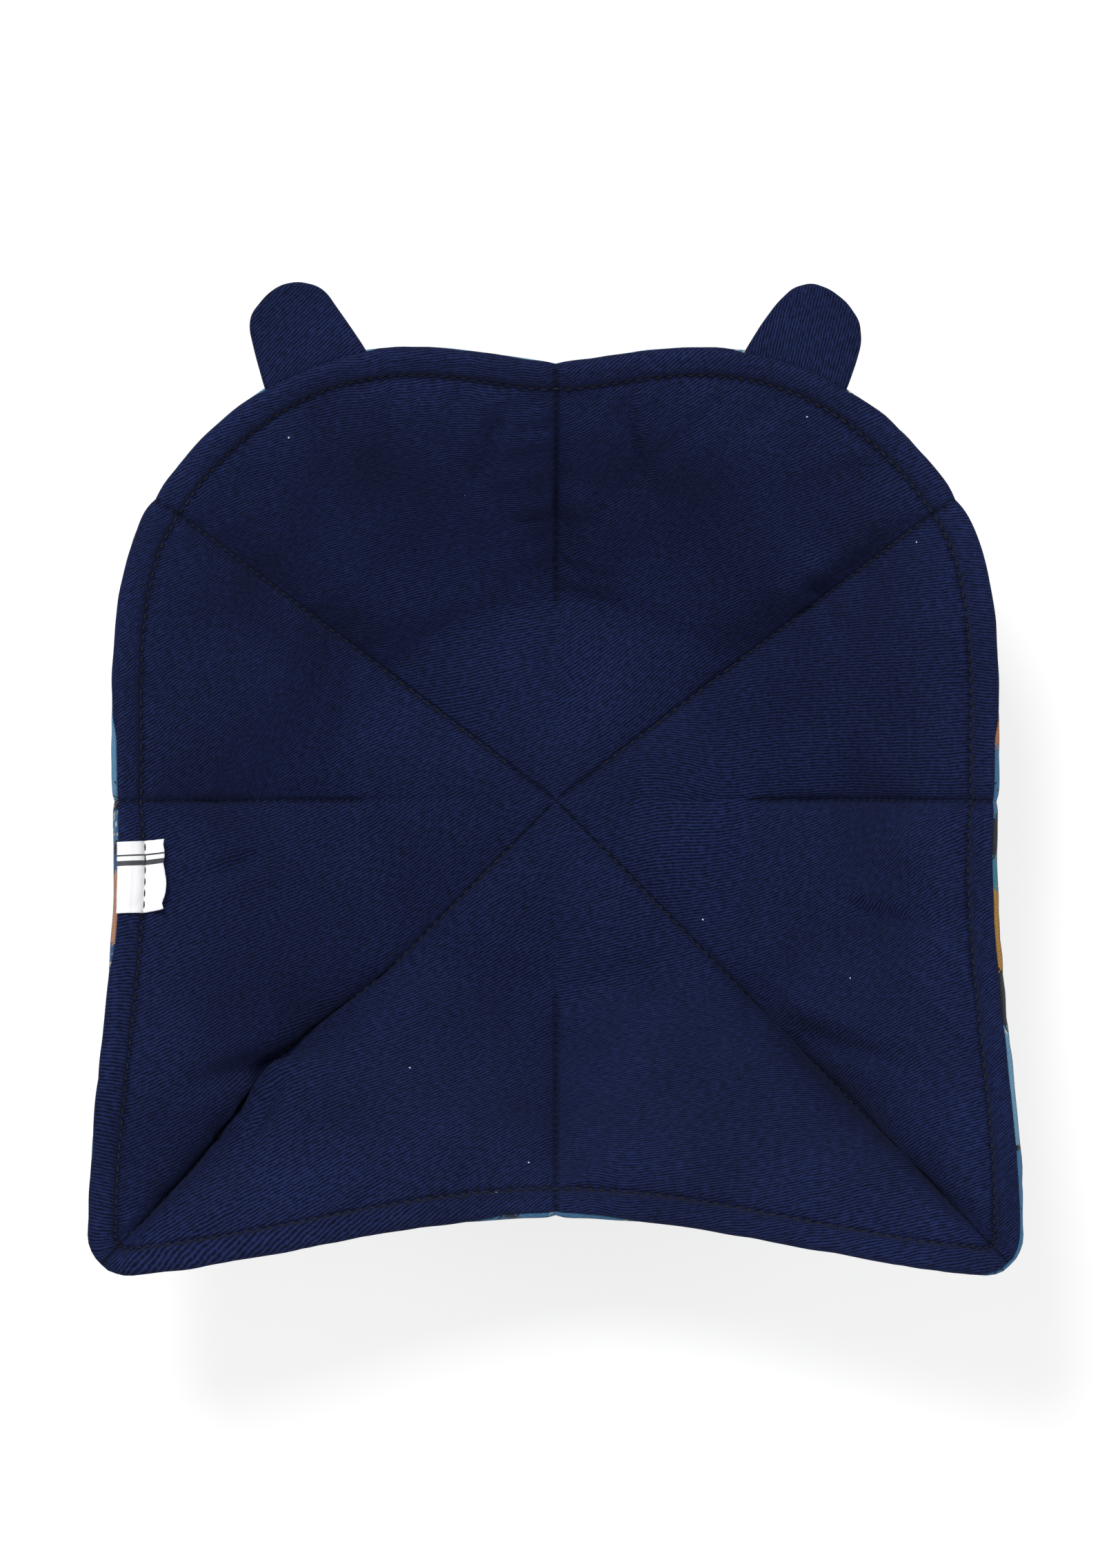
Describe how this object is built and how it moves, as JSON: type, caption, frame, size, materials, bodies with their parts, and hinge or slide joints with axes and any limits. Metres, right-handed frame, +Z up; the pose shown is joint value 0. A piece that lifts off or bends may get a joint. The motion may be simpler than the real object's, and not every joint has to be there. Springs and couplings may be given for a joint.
{
  "type": "microwave bowl cozy",
  "caption": "Quilted fabric bowl holder with a dished square form, padded turned rim, small ears and a folded side label.",
  "frame": {"origin": "on the ground under the middle of the base, where the quilting lines cross", "axes": "+X to the right when the ears point away, +Y towards the ears, +Z up"},
  "size_m": [0.2123, 0.2267, 0.0718],
  "materials": {
    "lining_twill": "navy cotton twill, matt",
    "ear_twill": "navy cotton twill, matt",
    "cover_jacquard": "woven jacquard in blues, tan and black",
    "wadding": "white cotton wadding, matt",
    "label_ribbon": "white woven ribbon, matt"
  },
  "bodies": {
    "root": {"lining": "lining_twill", "lining_wadding": "wadding", "cover": "cover_jacquard", "cover_wadding": "wadding", "left_ear_front": "ear_twill", "left_ear_back": "ear_twill", "right_ear_front": "ear_twill", "right_ear_back": "ear_twill", "label": "label_ribbon"}
  },
  "joints": []
}
